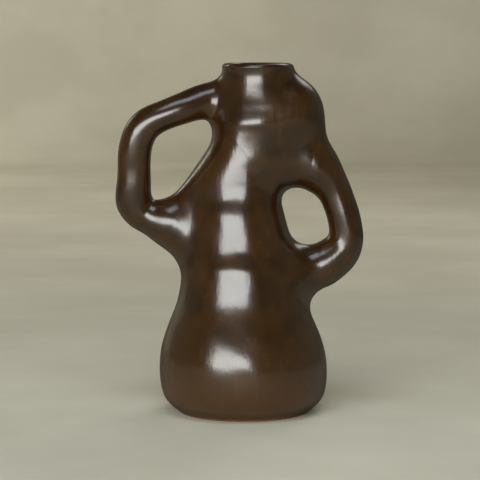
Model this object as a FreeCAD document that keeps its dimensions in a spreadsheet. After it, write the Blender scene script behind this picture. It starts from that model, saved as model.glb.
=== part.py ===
"""Stoneware flower vase, 360 mm tall, hand built in sections with two looped handles.

Frame: millimetres. The origin is the centre of the base's underside, +Z is up, the front of
the vase faces -Y, the long looped handle reaches to -X and the short one to +X.

The vase is one gourd-shaped column on a flat base, whose upper half leans a little to +X. The
column is cut level into the sections that the potter throws and joins: base disc, belly,
waist, torso, neck and lip. Each handle is a pulled coil of clay,
bent into a loop in the XZ plane and luted on at both ends with a flared collar of soft clay.
"""
import FreeCAD, Part
import os

doc = FreeCAD.newDocument("StonewareVase")

# ---------------------------------------------------------------- driving sizes
sheet = doc.addObject("Spreadsheet::Sheet", "Sizes")
DRIVING = [
    ("body_height", 360.0, "foot to lip"),
    ("foot_radius", 66.0, "edge of the flat base on the table"),
    ("belly_radius", 87.5, "widest place, low on the vase"),
    ("waist_radius", 65.0, "above the belly"),
    ("torso_radius", 42.0, "between the two handles"),
    ("shoulder_radius", 41.0, "where the handles spring"),
    ("neck_radius", 32.0, "narrowest place under the lip"),
    ("lip_radius", 36.0, "outer edge of the mouth"),
    ("top_lean", 12.5, "offset of the neck's centre to +X"),
    ("wall", 8.0, "thickness of the thrown wall"),
    ("floor_thick", 9.0, "thickness of the base disc"),
    ("left_reach", 112.5, "centre of the long handle's grip from the column's axis"),
    ("left_grip_radius", 17.0, "half the thickness of the long handle"),
    ("right_reach", 105.5, "centre of the short handle's elbow from the column's axis"),
    ("right_grip_radius", 16.5, "half the thickness of the short handle"),
    ("collar_flare", 12.0, "how far a luting collar spreads past the handle"),
]
for row, (alias, value, note) in enumerate(DRIVING, start=1):
    sheet.set("A%d" % row, alias)
    sheet.set("B%d" % row, "=%g mm" % value)
    sheet.set("C%d" % row, note)
    sheet.setAlias("B%d" % row, alias)
doc.recompute()


def size(alias):
    """The expression that reads one driving size."""
    return "Sizes." + alias


def level(share):
    """A height above the table, as a share of the body's height."""
    return "%g * Sizes.body_height" % share


# ---------------------------------------------------------------- the column
# Each ring of the column: share of the height, radius, and share of the top lean. The widest
# ring is low, the column draws in to the waist, stays slim between the handles, swells again
# at the shoulder and closes to a short neck with a slightly flared lip.
COLUMN = [
    (0.000, "foot_radius", 1.00, 0.00),
    (0.013, "foot_radius", 1.10, 0.00),
    (0.035, "belly_radius", 0.935, 0.00),
    (0.068, "belly_radius", 0.985, 0.00),
    (0.110, "belly_radius", 1.000, 0.00),
    (0.160, "belly_radius", 0.982, -0.02),
    (0.218, "belly_radius", 0.925, -0.08),
    (0.290, "waist_radius", 1.100, -0.14),
    (0.365, "waist_radius", 0.985, -0.16),
    (0.440, "waist_radius", 0.880, -0.18),
    (0.520, "torso_radius", 1.165, -0.20),
    (0.590, "torso_radius", 1.010, -0.22),
    (0.665, "torso_radius", 0.975, -0.16),
    (0.725, "torso_radius", 0.940, 0.30),
    (0.785, "shoulder_radius", 0.960, 0.78),
    (0.850, "shoulder_radius", 1.000, 1.00),
    (0.905, "neck_radius", 1.090, 1.02),
    (0.950, "neck_radius", 1.000, 1.00),
    (0.985, "lip_radius", 0.965, 1.00),
    (1.000, "lip_radius", 1.000, 1.00),
]
# The inside follows the outside one wall thickness in, rounds into the floor and opens at the
# mouth: the last ring stands above the lip so that the mouth is cut clean through.
INSIDE = [
    ("Sizes.floor_thick", "foot_radius", 0.90, 0.00, 0.0),
    (level(0.065), "belly_radius", 0.955, 0.00, 1.0),
    (level(0.110), "belly_radius", 1.000, 0.00, 1.0),
    (level(0.160), "belly_radius", 0.982, -0.02, 1.0),
    (level(0.218), "belly_radius", 0.925, -0.08, 1.0),
    (level(0.290), "waist_radius", 1.100, -0.14, 1.0),
    (level(0.365), "waist_radius", 0.985, -0.16, 1.0),
    (level(0.440), "waist_radius", 0.880, -0.18, 1.0),
    (level(0.520), "torso_radius", 1.165, -0.20, 1.0),
    (level(0.590), "torso_radius", 1.010, -0.22, 1.0),
    (level(0.665), "torso_radius", 0.975, -0.16, 1.0),
    (level(0.725), "torso_radius", 0.940, 0.30, 1.0),
    (level(0.785), "shoulder_radius", 0.960, 0.78, 1.0),
    (level(0.850), "shoulder_radius", 1.000, 1.00, 1.0),
    (level(0.905), "neck_radius", 1.090, 1.02, 1.0),
    (level(0.950), "neck_radius", 1.000, 1.00, 0.95),
    (level(0.985), "lip_radius", 0.965, 1.00, 0.9),
    (level(1.040), "lip_radius", 1.080, 1.00, 0.8),
]


def ring(name, height, radius, lean):
    """A level circle of the column, its height, radius and centre bound to the sheet.

    Each starts at the back of the vase, so that the seam of the loft runs up the back.
    """
    circle = doc.addObject("Part::Circle", name)
    circle.Placement = FreeCAD.Placement(
        FreeCAD.Vector(0, 0, 0), FreeCAD.Rotation(FreeCAD.Vector(0, 0, 1), 100.0))
    circle.setExpression("Radius", radius)
    circle.setExpression("Placement.Base.x", lean)
    circle.setExpression("Placement.Base.z", height)
    return circle


def loft(name, sections):
    """A closed solid drawn smoothly through its sections."""
    solid = doc.addObject("Part::Loft", name)
    solid.Sections = sections
    solid.Solid = True
    solid.Ruled = False
    solid.MaxDegree = 3
    return solid


outer_rings = [
    ring("OuterRing%d" % i, level(share),
         "%g * Sizes.%s" % (factor, alias), "%g * Sizes.top_lean" % lean)
    for i, (share, alias, factor, lean) in enumerate(COLUMN)
]
column = loft("Column", outer_rings)

inner_rings = [
    ring("InnerRing%d" % i, height,
         "%g * Sizes.%s - %g * Sizes.wall" % (factor, alias, wall), "%g * Sizes.top_lean" % lean)
    for i, (height, alias, factor, lean, wall) in enumerate(INSIDE)
]
cavity = loft("Cavity", inner_rings)

shell = doc.addObject("Part::Cut", "Shell")
shell.Base = column
shell.Tool = cavity


# ---------------------------------------------------------------- sections of the column
def slab(name, bottom, top):
    """A level slab wider than the vase, from one height to another."""
    box = doc.addObject("Part::Box", name)
    box.setExpression("Length", "4 * Sizes.belly_radius")
    box.setExpression("Width", "4 * Sizes.belly_radius")
    box.setExpression("Height", "(%s) - (%s)" % (top, bottom))
    box.setExpression("Placement.Base.x", "-2 * Sizes.belly_radius")
    box.setExpression("Placement.Base.y", "-2 * Sizes.belly_radius")
    box.setExpression("Placement.Base.z", bottom)
    return box


def section(label, bottom, top):
    """The part of the hollow column between two heights."""
    common = doc.addObject("Part::Common", label)
    common.Base = shell
    common.Tool = slab(label + "_slab", bottom, top)
    common.Label = label
    return common


FLOOR_TOP = size("floor_thick")
BELLY_TOP = level(0.290)
WAIST_TOP = level(0.490)
TORSO_TOP = level(0.790)
NECK_TOP = level(0.960)
LIP_TOP = level(1.020)

nodes = [
    section("base_disc", "0 mm", FLOOR_TOP),
    section("belly_wall", FLOOR_TOP, BELLY_TOP),
    section("waist_wall", BELLY_TOP, WAIST_TOP),
    section("torso_wall", WAIST_TOP, TORSO_TOP),
    section("neck_collar", TORSO_TOP, NECK_TOP),
    section("lip", NECK_TOP, LIP_TOP),
]

# ---------------------------------------------------------------- the handles
# Each section of a handle: place along X as a share of the reach, height as a share of the
# body's height, the direction in which the clay runs there (degrees from +X towards +Z), and
# the thickness as a share of the grip. The first and last sections are buried in the column.
LEFT_HANDLE = [
    (0.060, 0.888, 178.0, 0.92),
    (-0.300, 0.885, 183.0, 0.94),
    (-0.555, 0.869, 194.0, 0.90),
    (-0.740, 0.847, 205.0, 0.88),
    (-0.890, 0.812, 225.0, 0.93),
    (-0.975, 0.765, 252.0, 0.97),
    (-1.000, 0.705, 268.0, 1.00),
    (-1.000, 0.655, 270.0, 1.00),
    (-0.985, 0.614, 282.0, 1.02),
    (-0.920, 0.578, 312.0, 1.05),
    (-0.800, 0.551, 329.0, 1.07),
    (-0.600, 0.520, 331.0, 1.12),
    (-0.350, 0.487, 332.0, 1.16),
    (-0.100, 0.455, 332.0, 1.18),
]
RIGHT_HANDLE = [
    (0.180, 0.912, 322.0, 1.02),
    (0.335, 0.868, 304.0, 1.16),
    (0.470, 0.803, 293.0, 1.26),
    (0.590, 0.733, 298.0, 1.24),
    (0.760, 0.662, 301.0, 1.14),
    (0.905, 0.600, 292.0, 1.00),
    (0.985, 0.545, 281.0, 0.96),
    (1.000, 0.498, 262.0, 1.02),
    (0.935, 0.460, 228.0, 1.10),
    (0.800, 0.428, 206.0, 1.20),
    (0.560, 0.399, 199.0, 1.26),
    (0.300, 0.374, 197.0, 1.30),
    (0.050, 0.353, 196.0, 1.30),
]


def tilted_ring(name, x, height, angle, in_plane, across):
    """An ellipse square to a run direction in the XZ plane, bound to the sheet.

    Its long axis lies in the XZ plane and its short one along Y.
    """
    oval = doc.addObject("Part::Ellipse", name)
    oval.setExpression("MajorRadius", in_plane)
    oval.setExpression("MinorRadius", across)
    run = FreeCAD.Rotation(FreeCAD.Vector(0, 1, 0), 90.0 - angle)
    lay = FreeCAD.Rotation(FreeCAD.Vector(0, 0, 1), 0.0)
    oval.Placement = FreeCAD.Placement(FreeCAD.Vector(0, 0, 0), run.multiply(lay))
    oval.setExpression("Placement.Base.x", x)
    oval.setExpression("Placement.Base.z", height)
    return oval


def handle(label, reach, grip, rows):
    """A bent coil of clay through its sections, cut where it meets the column."""
    rings = [
        tilted_ring("%s_ring%d" % (label, i), "%g * Sizes.%s" % (x, reach), level(share), angle,
                    "%g * Sizes.%s + 0.01 mm" % (thick, grip), "%g * Sizes.%s" % (thick, grip))
        for i, (x, share, angle, thick) in enumerate(rows)
    ]
    blank = loft(label + "_blank", rings)
    cut = doc.addObject("Part::Cut", label)
    cut.Base = blank
    cut.Tool = column
    cut.Label = label
    return blank, cut


left_blank, left_handle = handle("left_handle", "left_reach", "left_grip_radius", LEFT_HANDLE)
right_blank, right_handle = handle(
    "right_handle", "right_reach", "right_grip_radius", RIGHT_HANDLE)
nodes += [left_handle, right_handle]

# ---------------------------------------------------------------- the luting collars
# Each collar is a flare of soft clay around one end of a handle: place, height, direction,
# the handle's thickness there, and how many times the collar's flare it spreads past the
# handle in the XZ plane and along Y. The first section is buried in the column.
COLLARS = {
    "left_upper_collar": ("left_reach", "left_grip_radius", [
        (-0.050, 0.887, 180.0, 0.95, 1.30, 1.15),
        (-0.230, 0.886, 182.0, 0.95, 0.80, 0.75),
        (-0.330, 0.885, 184.0, 0.94, 0.38, 0.38),
        (-0.450, 0.877, 189.0, 0.92, 0.18, 0.18),
        (-0.580, 0.867, 196.0, 0.90, 0.10, 0.10),
    ]),
    "left_lower_collar": ("left_reach", "left_grip_radius", [
        (-0.249, 0.564, 352.0, 1.05, 5.01, 0.76),
        (-0.400, 0.565, 351.0, 1.05, 4.18, 0.72),
        (-0.538, 0.564, 350.5, 1.05, 2.51, 0.55),
        (-0.669, 0.556, 345.3, 1.05, 1.14, 0.30),
        (-0.813, 0.554, 336.0, 1.05, 0.23, 0.15),
    ]),
    "right_upper_collar": ("right_reach", "right_grip_radius", [
        (0.190, 0.925, 305.0, 1.05, 0.97, 0.39),
        (0.265, 0.876, 305.0, 1.05, 2.26, 1.06),
        (0.355, 0.794, 309.0, 1.05, 2.93, 1.14),
        (0.488, 0.738, 314.0, 1.05, 2.14, 0.89),
        (0.616, 0.708, 311.0, 1.05, 1.22, 0.56),
        (0.755, 0.671, 300.0, 1.05, 0.52, 0.29),
        (0.882, 0.621, 297.0, 1.05, 0.13, 0.11),
    ]),
    "right_lower_collar": ("right_reach", "right_grip_radius", [
        (0.300, 0.395, 197.0, 1.30, 3.30, 1.60),
        (0.450, 0.402, 197.0, 1.28, 2.35, 1.15),
        (0.580, 0.407, 199.0, 1.26, 1.30, 0.70),
        (0.720, 0.417, 203.0, 1.23, 0.42, 0.28),
        (0.835, 0.436, 212.0, 1.18, 0.12, 0.10),
    ]),
}
for label, (reach, grip, rows) in COLLARS.items():
    flare = loft(label + "_flare", [
        tilted_ring("%s_ring%d" % (label, i), "%g * Sizes.%s" % (x, reach), level(share), angle,
                    "%g * Sizes.%s + %g * Sizes.collar_flare + 0.01 mm" % (thick, grip, wide),
                    "%g * Sizes.%s + %g * Sizes.collar_flare" % (thick, grip, deep))
        for i, (x, share, angle, thick, wide, deep) in enumerate(rows)
    ])
    off_column = doc.addObject("Part::Cut", label + "_off_column")
    off_column.Base = flare
    off_column.Tool = column
    collar = doc.addObject("Part::Cut", label)
    collar.Base = off_column
    collar.Tool = left_blank if label.startswith("left") else right_blank
    collar.Label = label
    nodes.append(collar)

doc.recompute()

# ---------------------------------------------------------------- check and export
for item in doc.Objects:
    if "Invalid" in item.State or "Error" in item.State:
        raise RuntimeError("%s did not build: %s" % (item.Label, item.State))
os.makedirs("parts", exist_ok=True)
for node in nodes:
    shape = node.Shape
    if shape.isNull() or not shape.isValid():
        raise RuntimeError("%s has no valid shape" % node.Label)
    if len(shape.Solids) != 1:
        raise RuntimeError("%s has %d solids" % (node.Label, len(shape.Solids)))
    shape.exportStep(os.path.join("parts", node.Label + ".step"))
    box = shape.BoundBox
    print("%-20s %9.0f mm3  x %.1f..%.1f  y %.1f..%.1f  z %.1f..%.1f" % (
        node.Label, shape.Volume, box.XMin, box.XMax, box.YMin, box.YMax, box.ZMin, box.ZMax))
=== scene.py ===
"""Looks of the stoneware flower vase with two looped handles.

The vase is hand built: a gourd-shaped column thrown in sections, with a pulled coil of clay bent
into a loop on each side and smoothed in with flared collars of soft clay. Under the glaze all of
it is one skin, so every piece is a patch of the same clay form: the smooth union of the column,
the two coils and the webs of clay that fill their crotches. Lengths are in metres and heights are
from the table, in the frame of the CAD model.
"""
import logging
import math
from dataclasses import dataclass
from enum import Enum
from typing import Sequence

import bpy
import numpy as np
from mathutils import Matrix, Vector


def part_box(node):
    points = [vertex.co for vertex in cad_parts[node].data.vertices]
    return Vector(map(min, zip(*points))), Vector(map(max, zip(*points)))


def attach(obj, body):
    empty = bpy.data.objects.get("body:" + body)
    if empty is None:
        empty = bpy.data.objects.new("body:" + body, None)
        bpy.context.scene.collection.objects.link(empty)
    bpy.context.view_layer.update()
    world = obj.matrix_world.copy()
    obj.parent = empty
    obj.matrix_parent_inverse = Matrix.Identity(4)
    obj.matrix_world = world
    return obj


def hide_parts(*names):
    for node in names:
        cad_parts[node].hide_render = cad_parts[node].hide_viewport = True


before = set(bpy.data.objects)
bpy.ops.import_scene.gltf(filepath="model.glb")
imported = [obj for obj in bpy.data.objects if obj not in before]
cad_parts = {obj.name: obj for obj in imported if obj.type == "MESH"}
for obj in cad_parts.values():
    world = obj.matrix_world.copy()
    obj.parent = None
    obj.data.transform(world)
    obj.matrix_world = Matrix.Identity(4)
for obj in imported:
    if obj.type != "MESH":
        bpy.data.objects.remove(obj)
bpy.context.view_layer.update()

LOG = logging.getLogger("vase")
MM = 0.001
SKIN = "_skin"
Grid = np.ndarray
Colour = tuple[float, float, float]
Point = tuple[float, float, float]


def smoothstep(value: Grid) -> Grid:
    """Three v squared less two v cubed, with v held between 0 and 1."""
    held = np.clip(value, 0.0, 1.0)
    return held * held * (3.0 - 2.0 * held)


def blend_union(first: Grid, second: Grid, width: float) -> Grid:
    """Smooth union of two distances.

    The smaller of the two, less a parabola where they differ by less than the width.

    Args:
        first: distances to the first form.
        second: distances to the second form.
        width: how far the fillet between the two reaches.

    Returns:
        The distances to the joined form.
    """
    share = np.clip(0.5 + 0.5 * (second - first) / width, 0.0, 1.0)
    return second + (first - second) * share - width * share * (1.0 - share)


class Spline:
    """Natural cubic spline through points: its second slope is zero at both ends."""

    def __init__(self, knots: Sequence[float], values: Grid) -> None:
        """Solve for the second slopes at the knots.

        Args:
            knots: where the points stand, rising.
            values: one row of values for each knot.
        """
        self.knots = np.asarray(knots, float)
        self.values = np.asarray(values, float).reshape(len(self.knots), -1)
        gap = np.diff(self.knots)
        count = len(self.knots)
        matrix = np.zeros((count, count))
        right = np.zeros_like(self.values)
        matrix[0, 0] = matrix[-1, -1] = 1.0
        inner = np.arange(1, count - 1)
        matrix[inner, inner - 1] = gap[:-1]
        matrix[inner, inner] = 2.0 * (gap[:-1] + gap[1:])
        matrix[inner, inner + 1] = gap[1:]
        slope = np.diff(self.values, axis=0) / gap[:, None]
        right[1:-1] = 6.0 * np.diff(slope, axis=0)
        self.bend = np.linalg.solve(matrix, right)

    def at(self, where: Grid, slope: bool = False) -> Grid:
        """The spline's value, or its first slope, at each place.

        Args:
            where: places along the spline, of any shape.
            slope: True for the first slope instead of the value.

        Returns:
            One more axis than where, or the same axes for a spline of single values.
        """
        flat = np.clip(np.asarray(where, float).ravel(), self.knots[0], self.knots[-1])
        low = np.clip(np.searchsorted(self.knots, flat) - 1, 0, len(self.knots) - 2)
        gap = (self.knots[low + 1] - self.knots[low])[:, None]
        after = (self.knots[low + 1] - flat)[:, None]
        before = (flat - self.knots[low])[:, None]
        bend_a, bend_b = self.bend[low], self.bend[low + 1]
        end_a, end_b = self.values[low], self.values[low + 1]
        if slope:
            curve = (bend_b * before ** 2 - bend_a * after ** 2) / (2.0 * gap)
            result = curve + (end_b - end_a) / gap - gap * (bend_b - bend_a) / 6.0
        else:
            curve = (bend_a * after ** 3 + bend_b * before ** 3) / (6.0 * gap)
            result = (curve + (end_a / gap - bend_a * gap / 6.0) * after
                      + (end_b / gap - bend_b * gap / 6.0) * before)
        shape = np.shape(where)
        return result[:, 0].reshape(shape) if result.shape[1] == 1 else result.reshape(shape + (-1,))


@dataclass(frozen=True)
class Measures:
    """The driving sizes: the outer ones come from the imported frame, wall and floor are given."""

    height: float
    belly: float
    lean: float
    left_reach: float
    right_reach: float
    wall: float = 8.0 * MM
    floor: float = 9.0 * MM

    @staticmethod
    def from_frame() -> "Measures":
        """Height and lean from the lip, the belly from its section, the reaches from the handles.

        Returns:
            The sizes, in metres.
        """
        lip_low, lip_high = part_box("lip")
        belly_low, belly_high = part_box("belly_wall")
        left_low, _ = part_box("left_handle")
        _, right_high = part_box("right_handle")
        return Measures(
            height=lip_high.z,
            belly=(belly_high.y - belly_low.y) / 2.0,
            lean=(lip_low.x + lip_high.x) / 2.0,
            left_reach=-left_low.x,
            right_reach=right_high.x,
        )


@dataclass
class ColumnForm:
    """The thrown column: level circles whose radius and centre follow splines up the height.

    Each row of the outline is a share of the height, the radius as a share of the belly's and the
    centre's offset to +X as a share of the lean.
    """

    size: Measures
    outline: tuple[tuple[float, float, float], ...] = (
        (0.000, 0.754, 0.00),
        (0.014, 0.828, 0.00),
        (0.033, 0.909, 0.00),
        (0.064, 0.967, -0.02),
        (0.111, 0.989, -0.04),
        (0.167, 0.978, -0.08),
        (0.222, 0.917, -0.14),
        (0.272, 0.836, -0.17),
        (0.328, 0.756, -0.15),
        (0.372, 0.724, -0.15),
        (0.408, 0.696, -0.16),
        (0.431, 0.674, -0.18),
        (0.450, 0.642, -0.20),
        (0.469, 0.614, -0.23),
        (0.500, 0.588, -0.28),
        (0.547, 0.551, -0.37),
        (0.581, 0.526, -0.44),
        (0.600, 0.504, -0.42),
        (0.619, 0.483, -0.35),
        (0.639, 0.471, -0.27),
        (0.672, 0.456, -0.16),
        (0.706, 0.433, 0.02),
        (0.728, 0.426, 0.26),
        (0.750, 0.420, 0.49),
        (0.767, 0.423, 0.62),
        (0.783, 0.434, 0.75),
        (0.800, 0.448, 0.85),
        (0.817, 0.459, 0.92),
        (0.831, 0.465, 0.96),
        (0.840, 0.458, 0.99),
        (0.850, 0.441, 1.02),
        (0.864, 0.411, 1.04),
        (0.881, 0.376, 1.04),
        (0.897, 0.344, 1.04),
        (0.914, 0.324, 1.04),
        (0.931, 0.321, 1.04),
        (0.950, 0.332, 1.04),
        (0.975, 0.364, 1.04),
        (1.000, 0.406, 1.00),
    )

    def __post_init__(self) -> None:
        """Scale the outline and draw the two splines."""
        rows = np.array(self.outline)
        knots = rows[:, 0] * self.size.height
        self.radius = Spline(knots, rows[:, 1] * self.size.belly)
        self.centre = Spline(knots, rows[:, 2] * self.size.lean)

    def distance(self, place: Grid) -> Grid:
        """Radial gap to the circle at the same height, over the length of the wall's slope.

        Args:
            place: points, of any shape by 3.

        Returns:
            A distance for each point, below zero inside.
        """
        height = place[..., 2]
        steep = self.radius.at(height, slope=True)
        gap = np.hypot(place[..., 0] - self.centre.at(height), place[..., 1])
        return (gap - self.radius.at(height)) / np.sqrt(1.0 + steep ** 2)


@dataclass
class CoilForm:
    """A pulled coil: a ball of changing radius swept along a spline.

    Each row of the path is x as a share of the reach, z as a share of the height, the radius as a
    share of the reach, and how far the coil bows forward to -Y as a share of the reach.
    """

    size: Measures
    reach: float
    path: tuple[tuple[float, float, float, float], ...]
    samples: int = 72

    def __post_init__(self) -> None:
        """Scale the path and measure it along its chords."""
        rows = np.array(self.path)
        points = np.stack([rows[:, 0] * self.reach, -rows[:, 3] * abs(self.reach),
                           rows[:, 1] * self.size.height], axis=1)
        chords = np.linalg.norm(np.diff(points, axis=0), axis=1)
        knots = np.concatenate([[0.0], np.cumsum(chords)])
        self.length = float(knots[-1])
        self.centre = Spline(knots, points)
        self.radius = Spline(knots, rows[:, 2] * abs(self.reach))

    def distance(self, place: Grid) -> Grid:
        """Distance to the nearest point of the path, found by samples and then by Newton steps.

        Args:
            place: points, of any shape by 3.

        Returns:
            A distance for each point, less the coil's radius there.
        """
        flat = place.reshape(-1, 3)
        steps = np.linspace(0.0, self.length, self.samples)
        nearest = np.full(len(flat), np.inf)
        along = np.zeros(len(flat))
        for step, mark in zip(steps, self.centre.at(steps)):
            gap = ((flat - mark) ** 2).sum(axis=1)
            closer = gap < nearest
            nearest[closer] = gap[closer]
            along[closer] = step
        stride = steps[1]
        for _ in range(3):
            slope = self.centre.at(along, slope=True)
            miss = ((flat - self.centre.at(along)) * slope).sum(axis=1)
            move = np.clip(miss / (slope ** 2).sum(axis=1), -stride, stride)
            along = np.clip(along + move, 0.0, self.length)
        gap = np.linalg.norm(flat - self.centre.at(along), axis=1)
        return (gap - self.radius.at(along)).reshape(place.shape[:-1])


@dataclass
class WebForm:
    """A web of clay in a crotch: a ball of changing radius swept along a straight line.

    Both ends are x and radius as shares of the reach, and z as a share of the height.
    """

    size: Measures
    reach: float
    start: tuple[float, float, float]
    end: tuple[float, float, float]

    def distance(self, place: Grid) -> Grid:
        """Distance to the nearest point of the line, less the radius there.

        Args:
            place: points, of any shape by 3.

        Returns:
            A distance for each point, below zero inside.
        """
        scale = np.array([self.reach, self.size.height])
        from_x, from_z = np.array(self.start[:2]) * scale
        to_x, to_z = np.array(self.end[:2]) * scale
        first = np.array([from_x, 0.0, from_z])
        run = np.array([to_x - from_x, 0.0, to_z - from_z])
        share = np.clip(((place - first) @ run) / (run @ run), 0.0, 1.0)
        gap = np.linalg.norm(place - first - share[..., None] * run, axis=-1)
        thick = self.start[2] + (self.end[2] - self.start[2]) * share
        return gap - thick * abs(self.reach)


@dataclass
class HandleForm:
    """One handle's clay: its coil joined with its webs."""

    coil: CoilForm
    webs: tuple[WebForm, ...]
    fillet: float = 24.0 * MM

    def distance(self, place: Grid) -> Grid:
        """Smooth union of the coil and its webs.

        Args:
            place: points, of any shape by 3.

        Returns:
            A distance for each point, below zero inside.
        """
        result = self.coil.distance(place)
        for web in self.webs:
            result = blend_union(result, web.distance(place), self.fillet)
        return result


def long_handle_form(size: Measures) -> HandleForm:
    """The long handle, on the left: two webs, in its upper and its lower crotch.

    Args:
        size: the vase's driving sizes.

    Returns:
        The handle's coil and webs.
    """
    reach = -size.left_reach
    return HandleForm(
        CoilForm(size, reach, (
            (-0.046, 0.906, 0.150, -0.03), (0.255, 0.897, 0.138, -0.03),
            (0.478, 0.873, 0.124, 0.06), (0.648, 0.850, 0.119, 0.09),
            (0.785, 0.820, 0.128, 0.08), (0.853, 0.767, 0.130, 0.07),
            (0.868, 0.706, 0.131, 0.05), (0.872, 0.656, 0.136, 0.04),
            (0.872, 0.608, 0.142, 0.02), (0.816, 0.573, 0.133, 0.01),
            (0.694, 0.549, 0.128, 0.00), (0.521, 0.518, 0.143, 0.00),
            (0.304, 0.486, 0.152, 0.00), (0.087, 0.456, 0.154, 0.00),
        )),
        (WebForm(size, reach, (-0.031, 0.744, 0.246), (0.530, 0.565, 0.124)),
         WebForm(size, reach, (0.193, 0.448, 0.214), (0.572, 0.536, 0.108))),
    )


def short_handle_form(size: Measures) -> HandleForm:
    """The short handle, on the right: three webs, on the shoulder and in both crotches.

    Args:
        size: the vase's driving sizes.

    Returns:
        The handle's coil and webs.
    """
    reach = size.right_reach
    return HandleForm(
        CoilForm(size, reach, (
            (0.180, 0.925, 0.155, 0.00), (0.376, 0.883, 0.172, 0.00),
            (0.482, 0.808, 0.180, 0.00), (0.576, 0.735, 0.172, 0.00),
            (0.713, 0.668, 0.147, 0.01), (0.803, 0.601, 0.137, 0.02),
            (0.849, 0.547, 0.139, 0.02), (0.858, 0.500, 0.149, 0.01),
            (0.805, 0.458, 0.164, 0.00), (0.690, 0.427, 0.160, 0.00),
            (0.482, 0.397, 0.172, 0.00), (0.259, 0.372, 0.176, 0.00),
            (0.041, 0.353, 0.176, 0.00),
        )),
        (WebForm(size, reach, (0.147, 0.880, 0.262), (0.368, 0.866, 0.262)),
         WebForm(size, reach, (0.286, 0.722, 0.222), (0.552, 0.702, 0.148)),
         WebForm(size, reach, (0.204, 0.397, 0.222), (0.640, 0.424, 0.112))),
    )


@dataclass
class ClayForm:
    """The whole vase's outer skin: the smooth union of the column and both handles."""

    column: ColumnForm
    left: HandleForm
    right: HandleForm
    fillet: float = 22.0 * MM
    unevenness: float = 0.16 * MM
    marches: int = 60
    march_share: float = 0.7
    march_least: float = 0.3 * MM
    march_most: float = 6.0 * MM
    halvings: int = 9
    settle_most: float = 5.0 * MM

    def hand(self, place: Grid) -> Grid:
        """Slow swells left by the potter's hands: products of sines 27 to 52 mm long.

        Args:
            place: points, of any shape by 3.

        Returns:
            How far the skin stands proud at each point.
        """
        side, depth, height = (np.moveaxis(place, -1, 0) / (10.0 * MM))
        broad = np.sin(1.05 * height + 0.6 * side) * np.sin(0.9 * side + 1.3 * depth + 1.0)
        fine = np.sin(1.9 * height - 1.1 * depth + 2.0) * np.sin(1.7 * depth + 1.5 * side)
        rings = np.sin(2.3 * height + 0.25 * side + 0.5)
        return self.unevenness * (broad + 0.5 * fine + 0.25 * rings)

    def distance(self, place: Grid) -> Grid:
        """Smooth union of column, left and right, moved by the hand's unevenness.

        Args:
            place: points, of any shape by 3.

        Returns:
            A distance for each point, below zero inside.
        """
        result = self.column.distance(place)
        for handle in (self.left, self.right):
            result = blend_union(result, handle.distance(place), self.fillet)
        return result - self.hand(place)

    def slope(self, place: Grid, step: float = 0.4 * MM) -> Grid:
        """Central differences of the distance along the three axes.

        Args:
            place: points, of any shape by 3.
            step: how far to either side of a point the distance is read.

        Returns:
            The slope along X, Y and Z at each point.
        """
        parts = []
        for axis in np.eye(3) * step:
            parts.append((self.distance(place + axis) - self.distance(place - axis)) / (2 * step))
        return np.stack(parts, axis=-1)

    def outward(self, place: Grid) -> Grid:
        """The skin's outward normal: the slope made one long."""
        slope = self.slope(place)
        return slope / np.linalg.norm(slope, axis=-1, keepdims=True)

    def cast(self, start: Grid, ray: Grid, low: Grid, high: Grid) -> Grid:
        """How far each ray runs inside the clay before it leaves the skin.

        Marches by a share of the distance to the skin, then halves the last step again and again.

        Args:
            start: where the rays start.
            ray: their directions, one long.
            low: how far along each ray the march begins, inside the clay.
            high: where it gives up.

        Returns:
            The length along each ray, at most high.
        """
        far = np.broadcast_to(low, start.shape[:-1]).astype(float).copy()
        limit = np.broadcast_to(high, far.shape)
        near = far.copy()
        open_rays = np.ones(far.shape, bool)
        for _ in range(self.marches):
            value = self.distance(start[open_rays] + ray[open_rays] * far[open_rays][..., None])
            inside = (value < 0.0) & (far[open_rays] < limit[open_rays])
            index = np.flatnonzero(open_rays)
            open_rays.flat[index[~inside]] = False
            moving = index[inside]
            if not len(moving):
                break
            near.flat[moving] = far.flat[moving]
            march = -self.march_share * value[inside]
            far.flat[moving] += np.clip(march, self.march_least, self.march_most)
            far.flat[moving] = np.minimum(far.flat[moving], limit.flat[moving])
        for _ in range(self.halvings):
            middle = 0.5 * (near + far)
            inside = self.distance(start + ray * middle[..., None]) < 0.0
            near = np.where(inside, middle, near)
            far = np.where(inside, far, middle)
        return np.minimum(0.5 * (near + far), limit)

    def settle(self, place: Grid, steps: int = 9) -> Grid:
        """Newton steps down the slope that bring points near the skin onto it.

        Args:
            place: points near the skin, of any shape by 3.
            steps: how many steps are taken.

        Returns:
            The points, moved onto the skin.
        """
        for _ in range(steps):
            slope = self.slope(place)
            value = self.distance(place)
            steep = np.maximum((slope ** 2).sum(axis=-1), 0.2)
            move = np.clip(value / steep, -self.settle_most, self.settle_most)
            place = place - move[..., None] * slope
        return place


class Closing(Enum):
    """How the two ends of a grid of rings are closed."""

    RING = "the last ring joins the first"
    POLES = "each end ring shrinks to one point"


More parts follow.
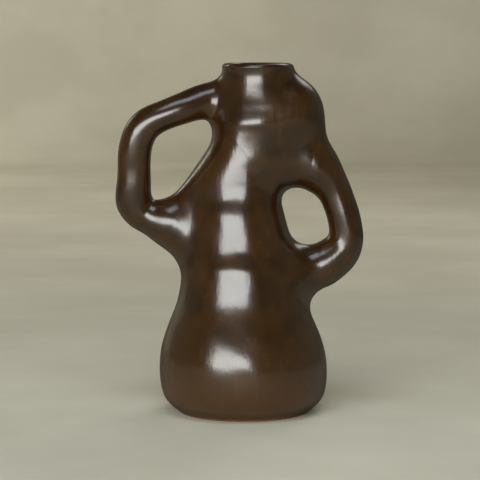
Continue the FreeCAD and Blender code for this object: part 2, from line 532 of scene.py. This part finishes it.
def skin_mesh(name: str, rings: Grid, normals: Grid, closing: Closing) -> bpy.types.Object:
    """A closed mesh from rings of points.

    The grid's rows are rings, its columns run round them and close on themselves. A point's face
    joins it to the next column and the next row. The volume, a sixth of the sum of each face's
    triple products, tells whether the rings must be turned for the faces to point outwards.

    Args:
        name: the CAD node that the piece stands for.
        rings: points, rows by columns by 3.
        normals: a normal for each point, or zero where the mesh's own is right.
        closing: how the first and last rows are closed.

    Returns:
        The new object, linked to the scene.
    """
    onto = np.roll(rings, -1, axis=1)
    above, beyond = np.roll(rings, -1, axis=0), np.roll(onto, -1, axis=0)
    triple = (rings * np.cross(onto, beyond)).sum() + (rings * np.cross(beyond, above)).sum()
    if triple < 0.0:
        rings, normals = rings[:, ::-1], normals[:, ::-1]
    rows, columns = rings.shape[:2]
    last = rows if closing is Closing.RING else rows - 1
    row, column = np.meshgrid(np.arange(last), np.arange(columns), indexing="ij")
    next_row = (row + 1) % rows
    next_column = (column + 1) % columns
    corners = np.stack([row * columns + column, row * columns + next_column,
                        next_row * columns + next_column, next_row * columns + column], axis=-1)
    points = rings.reshape(-1, 3)
    own = normals.reshape(-1, 3)
    faces = corners.reshape(-1, 4).tolist()
    if closing is Closing.POLES:
        count = len(points)
        points = np.vstack([points, rings[0].mean(axis=0), rings[-1].mean(axis=0)])
        own = np.vstack([own, np.zeros((2, 3))])
        turn = np.arange(columns)
        onward = (turn + 1) % columns
        base = (rows - 1) * columns
        faces += np.stack([onward, turn, np.full(columns, count)], axis=1).tolist()
        faces += np.stack([base + turn, base + onward,
                           np.full(columns, count + 1)], axis=1).tolist()
    mesh = bpy.data.meshes.new(name)
    mesh.from_pydata(points.tolist(), [], faces)
    mesh.update()
    mesh.polygons.foreach_set("use_smooth", np.ones(len(mesh.polygons), bool))
    mesh.normals_split_custom_set_from_vertices(own.tolist())
    piece = bpy.data.objects.new(name + SKIN, mesh)
    bpy.context.scene.collection.objects.link(piece)
    return piece


# -------- materials

class Sheet:
    """A material's node sheet, with short ways to add a node and join it."""

    def __init__(self, name: str) -> None:
        """Start an empty sheet with its output and one main shader."""
        self.material = bpy.data.materials.new(name)
        self.material.use_nodes = True
        self.tree = self.material.node_tree
        self.tree.nodes.clear()
        self.out = self.tree.nodes.new("ShaderNodeOutputMaterial")
        self.shader = self.tree.nodes.new("ShaderNodeBsdfPrincipled")
        self.tree.links.new(self.shader.outputs["BSDF"], self.out.inputs["Surface"])
        self.coords = self.tree.nodes.new("ShaderNodeTexCoord").outputs["Object"]

    def node(self, kind: str, **settings: object) -> bpy.types.Node:
        """A new node with its settings.

        Args:
            kind: the node's type.
            **settings: properties of the node, by name.

        Returns:
            The new node.
        """
        made = self.tree.nodes.new(kind)
        for key, value in settings.items():
            setattr(made, key, value)
        return made

    def join(self, source: bpy.types.NodeSocket, target: bpy.types.NodeSocket) -> None:
        """Link one socket to another."""
        self.tree.links.new(source, target)

    def stretched(self, scale: Point) -> bpy.types.NodeSocket:
        """Object coordinates multiplied by a scale for each axis.

        Args:
            scale: the factors along X, Y and Z.

        Returns:
            The stretched coordinates.
        """
        mapping = self.node("ShaderNodeMapping")
        mapping.inputs["Scale"].default_value = scale
        self.join(self.coords, mapping.inputs["Vector"])
        return mapping.outputs["Vector"]

    def noise(self, scale: float, detail: float = 3.0, rough: float = 0.5,
              where: bpy.types.NodeSocket | None = None) -> bpy.types.NodeSocket:
        """Fractal noise of a scale per metre.

        Args:
            scale: cells per metre.
            detail: how many octaves.
            rough: how much each octave keeps of the last.
            where: coordinates, or Object coordinates if left out.

        Returns:
            The noise's value.
        """
        made = self.node("ShaderNodeTexNoise")
        made.inputs["Scale"].default_value = scale
        made.inputs["Detail"].default_value = detail
        made.inputs["Roughness"].default_value = rough
        self.join(where or self.coords, made.inputs["Vector"])
        return made.outputs["Fac"]

    def ramp(self, value: bpy.types.NodeSocket, low: float, high: float,
             from_value: float = 0.0, to_value: float = 1.0) -> bpy.types.NodeSocket:
        """A smooth change from one value to another while the input goes from low to high.

        Args:
            value: the input.
            low: the input where the change starts.
            high: the input where it ends.
            from_value: the result at low.
            to_value: the result at high.

        Returns:
            The result.
        """
        made = self.node("ShaderNodeMapRange", interpolation_type="SMOOTHSTEP")
        made.inputs["From Min"].default_value = low
        made.inputs["From Max"].default_value = high
        made.inputs["To Min"].default_value = from_value
        made.inputs["To Max"].default_value = to_value
        self.join(value, made.inputs["Value"])
        return made.outputs["Result"]

    def paint(self, share: bpy.types.NodeSocket, under: bpy.types.NodeSocket | Colour,
              over: Colour) -> bpy.types.NodeSocket:
        """Lay one colour over another by a share.

        Args:
            share: how much of the upper colour shows.
            under: the lower colour, a socket or three numbers.
            over: the upper colour.

        Returns:
            The mixed colour.
        """
        made = self.node("ShaderNodeMix", data_type="RGBA")
        self.join(share, made.inputs["Factor"])
        for label, colour in (("A", under), ("B", over)):
            socket = next(s for s in made.inputs if s.name == label and s.type == "RGBA")
            if isinstance(colour, tuple):
                socket.default_value = (*colour, 1.0)
            else:
                self.join(colour, socket)
        return next(s for s in made.outputs if s.type == "RGBA")

    def sum(self, *values: tuple[bpy.types.NodeSocket, float]) -> bpy.types.NodeSocket:
        """Weighted sum of sockets.

        Args:
            *values: pairs of a socket and its weight.

        Returns:
            The sum.
        """
        total = None
        for socket, weight in values:
            made = self.node("ShaderNodeMath", operation="MULTIPLY_ADD")
            self.join(socket, made.inputs[0])
            made.inputs[1].default_value = weight
            if total is None:
                made.inputs[2].default_value = 0.0
            else:
                self.join(total, made.inputs[2])
            total = made.outputs[0]
        return total

    def bump(self, height: bpy.types.NodeSocket, depth: float) -> None:
        """Raise the surface and its coat by a height field.

        Args:
            height: the height, as a share of the depth.
            depth: how deep the relief is, in metres.
        """
        made = self.node("ShaderNodeBump")
        made.inputs["Strength"].default_value = 1.0
        made.inputs["Distance"].default_value = depth
        self.join(height, made.inputs["Height"])
        self.join(made.outputs["Normal"], self.shader.inputs["Normal"])
        self.join(made.outputs["Normal"], self.shader.inputs["Coat Normal"])

    def split(self) -> tuple[bpy.types.NodeSocket, ...]:
        """The three Object coordinates on their own."""
        made = self.node("ShaderNodeSeparateXYZ")
        self.join(self.coords, made.inputs[0])
        return tuple(made.outputs)


@dataclass(frozen=True)
class BronzeGlaze:
    """Dark iron-brown satin glaze with a bronze sheen, redder and thinner towards the foot."""

    body: Colour = (0.0252, 0.0099, 0.0012)
    pooled: Colour = (0.0130, 0.0052, 0.0008)
    warm: Colour = (0.0415, 0.0160, 0.0024)
    foot: Colour = (0.0520, 0.0215, 0.0055)
    clay: Colour = (0.150, 0.060, 0.026)
    ior: float = 1.09
    coat: float = 1.0
    coat_ior: float = 1.52
    coat_rough: float = 0.205
    rim_coat: float = 0.08
    bare_edge: float = 2.4 * MM
    mottle_scale: float = 38.0
    fine_scale: float = 260.0
    swell_scale: float = 70.0
    streak_scale: Point = (240.0, 240.0, 11.0)
    relief: float = 0.35 * MM

    def material(self) -> bpy.types.Material:
        """Mottled and streaked glaze, which thins to bare clay along the very foot.

        The body colour pools in the mottle's low places, streaks of a warmer tone run down it and
        a redder one rises from the foot. The coat is full where the skin faces the eye and thin
        at the rims.

        Returns:
            The material.
        """
        sheet = Sheet("bronze_glaze")
        _, _, height = sheet.split()
        mottle = sheet.noise(self.mottle_scale, 4.0, 0.6)
        fine = sheet.noise(self.fine_scale, 3.0, 0.6)
        streak = sheet.noise(1.0, 3.0, 0.55, sheet.stretched(self.streak_scale))
        colour = sheet.paint(sheet.ramp(mottle, 0.35, 0.68), self.pooled, self.body)
        colour = sheet.paint(sheet.ramp(streak, 0.52, 0.72, 0.0, 0.35), colour, self.warm)
        low = sheet.sum((height, 1.0), (mottle, 0.05))
        colour = sheet.paint(sheet.ramp(low, 0.13, 0.02, 0.0, 0.65), colour, self.foot)
        ragged = sheet.sum((height, 1.0), (fine, 0.0022), (mottle, -0.0020))
        bare = sheet.ramp(ragged, self.bare_edge + 0.0008, self.bare_edge - 0.0006)
        colour = sheet.paint(bare, colour, self.clay)
        sheet.join(colour, sheet.shader.inputs["Base Color"])
        rough = sheet.sum((sheet.ramp(mottle, 0.3, 0.7, 0.36, 0.44), 1.0), (fine, 0.06),
                          (bare, 0.4))
        sheet.join(rough, sheet.shader.inputs["Roughness"])
        sheet.shader.inputs["IOR"].default_value = self.ior
        facing = sheet.node("ShaderNodeLayerWeight")
        facing.inputs["Blend"].default_value = 0.5
        gloss = sheet.ramp(facing.outputs["Facing"], 0.30, 0.92, self.coat, self.rim_coat)
        sheet.join(gloss, sheet.shader.inputs["Coat Weight"])
        sheet.shader.inputs["Coat IOR"].default_value = self.coat_ior
        sheet.shader.inputs["Coat Roughness"].default_value = self.coat_rough
        swell = sheet.noise(self.swell_scale, 2.0)
        grain = sheet.sum((fine, 0.10), (streak, 0.42), (swell, 0.35))
        sheet.bump(grain, self.relief)
        return sheet.material


@dataclass(frozen=True)
class BareClay:
    """Unglazed fired clay, reddish buff and matt."""

    pale: Colour = (0.34, 0.18, 0.10)
    burnt: Colour = (0.22, 0.10, 0.055)

    def material(self) -> bpy.types.Material:
        """Two tones of clay with sandy grain.

        Returns:
            The material.
        """
        sheet = Sheet("bare_clay")
        cloud = sheet.noise(45.0, 4.0, 0.6)
        grit = sheet.noise(900.0, 2.0, 0.6)
        colour = sheet.paint(sheet.ramp(cloud, 0.35, 0.65), self.burnt, self.pale)
        sheet.join(colour, sheet.shader.inputs["Base Color"])
        sheet.join(sheet.ramp(grit, 0.3, 0.7, 0.75, 0.92), sheet.shader.inputs["Roughness"])
        sheet.bump(grit, 0.2 * MM)
        return sheet.material


@dataclass(frozen=True)
class LimedWall:
    """The studio's pale floor and backdrop: limed plaster with faint clouds."""

    light: Colour = (0.56, 0.532, 0.435)
    shade: Colour = (0.49, 0.463, 0.372)

    def material(self) -> bpy.types.Material:
        """Slow clouds of two close tones, matt.

        Returns:
            The material.
        """
        sheet = Sheet("limed_wall")
        cloud = sheet.noise(2.6, 5.0, 0.55)
        colour = sheet.paint(sheet.ramp(cloud, 0.35, 0.68), self.shade, self.light)
        sheet.join(colour, sheet.shader.inputs["Base Color"])
        sheet.shader.inputs["Roughness"].default_value = 0.85
        sheet.shader.inputs["Specular IOR Level"].default_value = 0.25
        return sheet.material


# -------- the pieces

def place_piece(piece: bpy.types.Object, *finishes: bpy.types.Material) -> None:
    """Dress a piece and tie it to the CAD node that it is named after.

    Args:
        piece: the finished object.
        finishes: its materials, in slot order.
    """
    for finish in finishes:
        piece.data.materials.append(finish)
    node = piece.name.removesuffix(SKIN)
    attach(piece, "root")
    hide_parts(node)
    LOG.info("%s: %d faces", piece.name, len(piece.data.polygons))


@dataclass
class ThrownColumn:
    """The column's six sections, from the base disc to the lip."""

    size: Measures
    clay: ClayForm
    glaze: bpy.types.Material
    bare: bpy.types.Material
    columns: int = 288
    row_step: float = 1.6 * MM
    lip_round: float = 4.0 * MM
    tuck: float = 12.0 * MM
    ray_lead: float = 8.0 * MM
    proud: float = 4.0 * MM
    tuck_sink: float = 0.06 * MM
    floor_corner: float = 14.0 * MM
    foot_edge: float = 0.9 * MM
    under_shares: tuple[float, ...] = (0.35, 0.7, 0.9, 0.985)
    floor_shares: tuple[float, ...] = (0.85, 0.5, 0.2)
    facing_down: float = -0.97

    def levels(self, low: float, high: float) -> Grid:
        """Even heights between two, a row step apart."""
        count = max(2, int(round((high - low) / self.row_step)) + 1)
        return np.linspace(low, high, count)

    def rays(self, heights: Grid) -> tuple[Grid, Grid, Grid]:
        """Level rays from the column's centre.

        Args:
            heights: the rows' heights.

        Returns:
            The rays' starts, their directions and the bare column's radius on each.
        """
        turn = np.linspace(0.0, 2.0 * np.pi, self.columns, endpoint=False)
        shape = (len(heights), self.columns)
        column = self.clay.column
        start = np.zeros(shape + (3,))
        start[..., 0] = column.centre.at(heights)[:, None]
        start[..., 2] = heights[:, None]
        ray = np.zeros(shape + (3,))
        ray[..., 0] = np.cos(turn)
        ray[..., 1] = np.sin(turn)
        own = np.broadcast_to(column.radius.at(heights)[:, None], shape)
        return start, ray, own

    def outside(self, heights: Grid) -> tuple[Grid, Grid]:
        """Outer rows: each ray runs to the skin, but at most the tuck beyond the bare column.

        Rows under a collar sink a hair below the skin, so that the collar covers them.

        Args:
            heights: the rows' heights.

        Returns:
            The points and their normals.
        """
        start, ray, own = self.rays(heights)
        reach = self.clay.cast(start, ray, own - self.ray_lead, own + self.tuck)
        over = smoothstep((reach - own - self.proud) / self.proud)
        points = start + ray * (reach - self.tuck_sink * over)[..., None]
        return points, self.clay.outward(points)

    def inside(self, heights: Grid, radii: Grid) -> Grid:
        """Inner rows at given radii round the column's centre."""
        start, ray, _ = self.rays(heights)
        return start + ray * np.asarray(radii)[:, None, None]

    def cavity(self, heights: Grid) -> Grid:
        """The inside's radius: the wall's thickness in, with a quarter round into the floor.

        Args:
            heights: the rows' heights.

        Returns:
            A radius for each row.
        """
        own = self.clay.column.radius.at(heights) - self.size.wall
        corner = self.floor_corner
        lift = np.clip(1.0 - (heights - self.size.floor) / corner, 0.0, 1.0)
        return own - corner * (1.0 - np.sqrt(np.clip(1.0 - lift ** 2, 0.0, 1.0)))

    def section(self, name: str, low: float, high: float) -> None:
        """One ring of the column: up the outside, then down the inside.

        Args:
            name: the CAD node that it stands for.
            low: the height of its lower edge.
            high: the height of its upper edge.
        """
        heights = self.levels(low, high)
        points, normals = self.outside(heights)
        down = heights[::-1][::2] if len(heights) % 2 else heights[::-1]
        inner = self.inside(down, self.cavity(down))
        rings = np.concatenate([points, inner])
        own = np.concatenate([normals, np.zeros_like(inner)])
        place_piece(skin_mesh(name, rings, own, Closing.RING), self.glaze)

    def base_disc(self) -> None:
        """The flat base: a bare underside, a soft edge and the outer skin up to the floor."""
        heights = self.levels(self.foot_edge, self.size.floor)
        points, normals = self.outside(heights)
        edge = points[0]
        foot = self.clay.column.radius.at(np.array([0.0]))[0]
        under = edge[None] * np.array(self.under_shares)[:, None, None]
        under[..., 2] = 0.0
        shrink = foot / np.linalg.norm(edge[:, :2], axis=1)
        under[..., :2] *= np.minimum(shrink, 1.0)[None, :, None]
        ceiling = points[-1][None] * np.array(self.floor_shares)[:, None, None]
        ceiling[..., 2] = self.size.floor
        rings = np.concatenate([under, points, ceiling])
        own = np.concatenate([np.zeros_like(under), normals, np.zeros_like(ceiling)])
        piece = skin_mesh("base_disc", rings, own, Closing.POLES)
        place_piece(piece, self.glaze, self.bare)
        flat = np.array([polygon.normal.z < self.facing_down for polygon in piece.data.polygons])
        piece.data.polygons.foreach_set("material_index", flat.astype(np.int32))

    def lip(self, low: float) -> None:
        """The mouth: the outer skin, a half round over the top, and the inside down again.

        The half round's radius is the lip's, and its outer side swells to meet the skin.

        Args:
            low: the height of its lower edge.
        """
        top = self.size.height
        heights = self.levels(low, top - self.lip_round)
        points, normals = self.outside(heights)
        angle = np.linspace(0.0, np.pi, 13)[1:]
        column = self.clay.column
        rim = column.radius.at(np.array([top - self.lip_round]))[0] - self.lip_round
        start, ray, _ = self.rays(np.full(len(angle), top - self.lip_round))
        outer = np.linalg.norm(points[-1][:, :2] - start[0][:, :2], axis=1)
        swell = (outer - rim - self.lip_round)[None, :] * (0.5 + 0.5 * np.cos(angle))[:, None]
        out = rim + self.lip_round * np.cos(angle)[:, None] + swell
        crown = start + ray * out[..., None]
        crown[..., 2] += self.lip_round * np.sin(angle)[:, None]
        crown_normals = ray * np.cos(angle)[:, None, None]
        crown_normals[..., 2] = np.sin(angle)[:, None]
        down = heights[::-1][1:]
        inner = self.inside(down, column.radius.at(down) - 2.0 * self.lip_round)
        rings = np.concatenate([points, crown, inner])
        own = np.concatenate([normals, crown_normals, np.zeros_like(inner)])
        place_piece(skin_mesh("lip", rings, own, Closing.RING), self.glaze)

    def build(self) -> None:
        """Make the six sections from the table up, cut where the CAD cuts them."""
        self.base_disc()
        cuts = [self.size.floor]
        names = ("belly_wall", "waist_wall", "torso_wall", "neck_collar")
        for name in names:
            cuts.append(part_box(name)[1].z)
        for name, low, high in zip(names, cuts, cuts[1:]):
            self.section(name, low, high)
        self.lip(cuts[-1])


@dataclass
class Footprint:
    """Where a collar spreads on the column: its height, its half heights and half width."""

    height: float
    up: float
    down: float
    across: float


@dataclass
class LoopedHandle:
    """One looped handle: the pulled coil and the collar of soft clay at each of its ends.

    The upper and the lower end say where on the coil's path its grip starts and stops.
    """

    side: str
    clay: ClayForm
    form: HandleForm
    upper_end: float
    lower_end: float
    upper_print: Footprint
    lower_print: Footprint
    glaze: bpy.types.Material
    around: int = 128
    step: float = 1.6 * MM
    lap: float = 5.0 * MM
    spread: int = 64
    web_most: float = 16.0 * MM
    tuck_sink: float = 0.06 * MM
    tuck_fade: float = 4.0 * MM
    core_sink: float = 1.5 * MM
    root_depth: float = 5.0 * MM
    edge_sink: float = 4.5 * MM
    edge_fade: float = 6.0 * MM
    ring_sink: float = 0.8 * MM
    bore_sink: float = 1.0 * MM

    def circle(self, along: Grid) -> tuple[Grid, Grid]:
        """Centres on the path, and rays square to it, round the coil.

        A ray turns from the path's normal in the XZ plane to the one that is square to both.

        Args:
            along: places on the path.

        Returns:
            The centres and the rays, places by turns by 3.
        """
        slope = self.form.coil.centre.at(along, slope=True)
        slope /= np.linalg.norm(slope, axis=-1, keepdims=True)
        flat = np.stack([-slope[:, 2], np.zeros(len(along)), slope[:, 0]], axis=1)
        flat /= np.linalg.norm(flat, axis=-1, keepdims=True)
        deep = np.cross(slope, flat)
        deep *= np.sign(deep[:, 1:2])
        turn = np.linspace(0.0, 2.0 * np.pi, self.around, endpoint=False)[None, :, None]
        ray = flat[:, None] * np.cos(turn) + deep[:, None] * np.sin(turn)
        centre = np.broadcast_to(self.form.coil.centre.at(along)[:, None], ray.shape)
        return centre, ray

    def coil_piece(self) -> None:
        """The grip: out to the skin between the collars, slim where it runs inside them."""
        coil = self.form.coil
        first = self.entry(upper=True)
        last = self.entry(upper=False)
        count = int((last - first) / self.step)
        along = np.linspace(first, last, count)
        centre, ray = self.circle(along)
        own = coil.radius.at(along)[:, None]
        reach = self.clay.cast(centre, ray, own * 0.3, own + self.web_most)
        past = np.maximum(self.upper_end - along, along - self.lower_end)[:, None]
        hidden = smoothstep((past - self.lap) / self.tuck_fade)
        reach = reach - self.tuck_sink * smoothstep(past / self.lap)
        length = reach * (1.0 - hidden) + (own - self.core_sink) * hidden
        points = centre + ray * length[..., None]
        normals = self.clay.outward(points) * (hidden < 0.5)[..., None]
        place_piece(skin_mesh(f"{self.side}_handle", points, normals, Closing.POLES), self.glaze)

    def entry(self, upper: bool) -> float:
        """Where the path lies a root's depth under the column's surface.

        Args:
            upper: True for the handle's upper end.

        Returns:
            The place on the path.
        """
        along = np.linspace(0.0, self.form.coil.length, 400)
        depth = self.clay.column.distance(self.form.coil.centre.at(along))
        outside = np.flatnonzero(depth > -self.root_depth)
        return float(along[outside[0] if upper else outside[-1]])

    def collar_piece(self, upper: bool) -> None:
        """A flared collar: from a ring round the coil it spreads onto the column.

        A guess runs straight from the coil's ring to the footprint on the column and settles onto
        the skin. It dives below the skin at both of its borders, under the coil and under the
        column.

        Args:
            upper: True for the handle's upper end.
        """
        coil = self.form.coil
        column = self.clay.column
        end = self.upper_end if upper else self.lower_end
        sign = 1.0 if upper else -1.0
        footprint = self.upper_print if upper else self.lower_print
        touch = self.entry(upper)
        ring_centre, ring_ray = self.circle(np.array([end + sign * self.lap]))
        ring = ring_centre[0] + ring_ray[0] * coil.radius.at(np.array([end]))[0]
        _, corner_ray = self.circle(np.array([touch]))
        # The footprint: round the column by the ray's Y part, up or down by its Z part.
        lean = corner_ray[0]
        rise = lean[:, 2] / np.maximum(np.hypot(lean[:, 2], lean[:, 0]), 1e-9)
        rise = np.where(np.abs(lean[:, 1]) > 0.999, 0.0, rise) * np.sqrt(1 - lean[:, 1] ** 2)
        out = np.sign(coil.reach)
        level = footprint.height + np.where(rise > 0, rise * footprint.up, rise * footprint.down)
        own = column.radius.at(level)
        turn = lean[:, 1] * footprint.across / own
        seat = np.stack([column.centre.at(level) + out * own * np.cos(turn),
                         own * np.sin(turn), level], axis=1)
        share = np.linspace(0.0, 1.0, self.spread)[:, None, None]
        guess = ring + share * (seat - ring)
        points = self.clay.settle(guess)
        normals = self.clay.outward(points)
        gap = column.distance(points)
        sink = self.edge_sink * smoothstep((self.edge_fade - gap) / self.edge_fade)
        edge = self.ring_sink * smoothstep(1.0 - share[..., 0] * 12.0) * np.ones_like(gap)
        outer = points - normals * (sink + edge)[..., None]
        steps = np.linspace(touch, end + sign * self.lap, 10)
        inner_centre, inner_ray = self.circle(steps)
        bore = coil.radius.at(steps)[:, None, None] - self.bore_sink
        inner = inner_centre + inner_ray * bore
        rings = np.concatenate([outer, inner])
        own_normals = np.concatenate([normals, np.zeros_like(inner)])
        word = "upper" if upper else "lower"
        piece = skin_mesh(f"{self.side}_{word}_collar", rings, own_normals, Closing.RING)
        place_piece(piece, self.glaze)

    def build(self) -> None:
        """Make the coil and its two collars."""
        self.coil_piece()
        self.collar_piece(upper=True)
        self.collar_piece(upper=False)


# -------- the studio

@dataclass
class Softbox:
    """An oblong soft light: where it hangs, what it looks at, its size and its brightness."""

    name: str
    place: Point
    aim: Point
    wide: float
    tall: float
    radiance: float
    colour: Colour

    def hang(self) -> None:
        """Add the light to the scene: its power is brightness times area times pi."""
        data = bpy.data.lights.new(self.name, "AREA")
        data.shape = "RECTANGLE"
        data.size = self.wide
        data.size_y = self.tall
        data.energy = self.radiance * self.wide * self.tall * math.pi
        data.color = self.colour
        lamp = bpy.data.objects.new(self.name, data)
        bpy.context.scene.collection.objects.link(lamp)
        way = np.array(self.aim) - np.array(self.place)
        lamp.location = self.place
        lamp.rotation_euler = turn_to(way)


def turn_to(way: Grid) -> Point:
    """Euler angles that turn -Z to a direction and keep +Y up: tilt about X, then turn about Z."""
    flat = math.hypot(way[0], way[1])
    return (math.atan2(flat, -way[2]), 0.0, math.atan2(-way[0], way[1]))


@dataclass
class Studio:
    """Floor and backdrop in one sweep, soft lights, pale air and the camera."""

    wall: bpy.types.Material
    eye: Point = (-0.010, -2.230, 0.412)
    aim: Point = (-0.004, 0.0, 0.178)
    lens: float = 163.0
    floor_radius: float = 3.6
    bend: float = 0.9
    wall_top: float = 4.5

    def sweep(self) -> None:
        """A round level floor that curves up into a wall: a profile carried round the Z axis."""
        bend = self.bend
        angle = np.linspace(0.0, math.pi / 2.0, 17)
        radius = np.concatenate([[0.01, 1.2, 2.4], self.floor_radius + bend * np.sin(angle),
                                 [self.floor_radius + bend]])
        height = np.concatenate([np.zeros(3), bend * (1.0 - np.cos(angle)), [self.wall_top]])
        turn = np.linspace(0.0, 2.0 * np.pi, 96, endpoint=False)
        grid = np.stack([radius[:, None] * np.cos(turn), radius[:, None] * np.sin(turn),
                         np.broadcast_to(height[:, None], (len(radius), len(turn)))], axis=-1)
        rows, columns = grid.shape[:2]
        row, column = np.meshgrid(np.arange(rows - 1), np.arange(columns), indexing="ij")
        onward = (column + 1) % columns
        faces = np.stack([row * columns + column, row * columns + onward,
                          (row + 1) * columns + onward, (row + 1) * columns + column], axis=-1)
        mesh = bpy.data.meshes.new("studio_sweep")
        disc = [list(range(columns))[::-1]]
        mesh.from_pydata(grid.reshape(-1, 3).tolist(), [], faces.reshape(-1, 4).tolist() + disc)
        mesh.update()
        mesh.polygons.foreach_set("use_smooth", np.ones(len(mesh.polygons), bool))
        floor = bpy.data.objects.new("studio_sweep", mesh)
        bpy.context.scene.collection.objects.link(floor)
        floor.data.materials.append(self.wall)

    def lights(self) -> None:
        """A window behind the eye, a cool light overhead, a wash on the wall and a back light."""
        Softbox("window", (-0.80, -2.73, 0.68), (0.0, 0.0, 0.17), 2.9, 1.10, 12.8,
                (0.98, 0.99, 0.97)).hang()
        Softbox("overhead", (0.0, -0.85, 1.72), (0.0, 0.0, 0.30), 1.1, 0.7, 4.6,
                (0.80, 0.91, 1.0)).hang()
        Softbox("wall_wash", (-2.7, 2.5, 1.9), (-1.2, 4.3, 0.6), 1.8, 1.0, 10.5,
                (1.0, 0.97, 0.90)).hang()
        Softbox("back_fill", (1.0, 2.0, 2.0), (0.0, 0.0, 0.2), 1.6, 1.0, 3.8,
                (1.0, 0.98, 0.94)).hang()

    def air(self) -> None:
        """A pale even world."""
        world = bpy.data.worlds.new("studio_air")
        world.use_nodes = True
        back = world.node_tree.nodes["Background"]
        back.inputs["Color"].default_value = (0.92, 0.96, 1.0, 1.0)
        back.inputs["Strength"].default_value = 0.05
        bpy.context.scene.world = world

    def camera(self) -> None:
        """The eye, a little above the top of the vase and to its left."""
        data = bpy.data.cameras.new("eye")
        data.lens = self.lens
        data.sensor_width = 36.0
        eye = bpy.data.objects.new("eye", data)
        bpy.context.scene.collection.objects.link(eye)
        eye.location = self.eye
        eye.rotation_euler = turn_to(np.array(self.aim) - np.array(self.eye))
        bpy.context.scene.camera = eye

    def build(self) -> None:
        """Set the stage."""
        self.sweep()
        self.lights()
        self.air()
        self.camera()
        bpy.context.scene.view_settings.view_transform = "Standard"


def corners(box: Sequence[Sequence[float]]) -> list[list[float]]:
    """A box's two corners as plain lists of numbers."""
    return [[float(value) for value in corner] for corner in box]


def main() -> None:
    """Build the vase from the table up, then the studio."""
    logging.basicConfig(level=logging.INFO, format="%(name)s: %(message)s")
    size = Measures.from_frame()
    column = ColumnForm(size)
    left_form = long_handle_form(size)
    right_form = short_handle_form(size)
    clay = ClayForm(column, left_form, right_form)
    glaze = BronzeGlaze().material()
    bare = BareClay().material()
    ThrownColumn(size, clay, glaze, bare).build()
    LoopedHandle(
        "left", clay, left_form, 58.0 * MM, 225.0 * MM,
        Footprint(0.865 * size.height, 36.0 * MM, 40.0 * MM, 34.0 * MM),
        Footprint(0.500 * size.height, 88.0 * MM, 60.0 * MM, 44.0 * MM), glaze).build()
    LoopedHandle(
        "right", clay, right_form, 118.0 * MM, 205.0 * MM,
        Footprint(0.800 * size.height, 60.0 * MM, 80.0 * MM, 42.0 * MM),
        Footprint(0.390 * size.height, 60.0 * MM, 60.0 * MM, 46.0 * MM), glaze).build()
    Studio(LimedWall().material()).build()


if __name__ == "__main__":
    main()
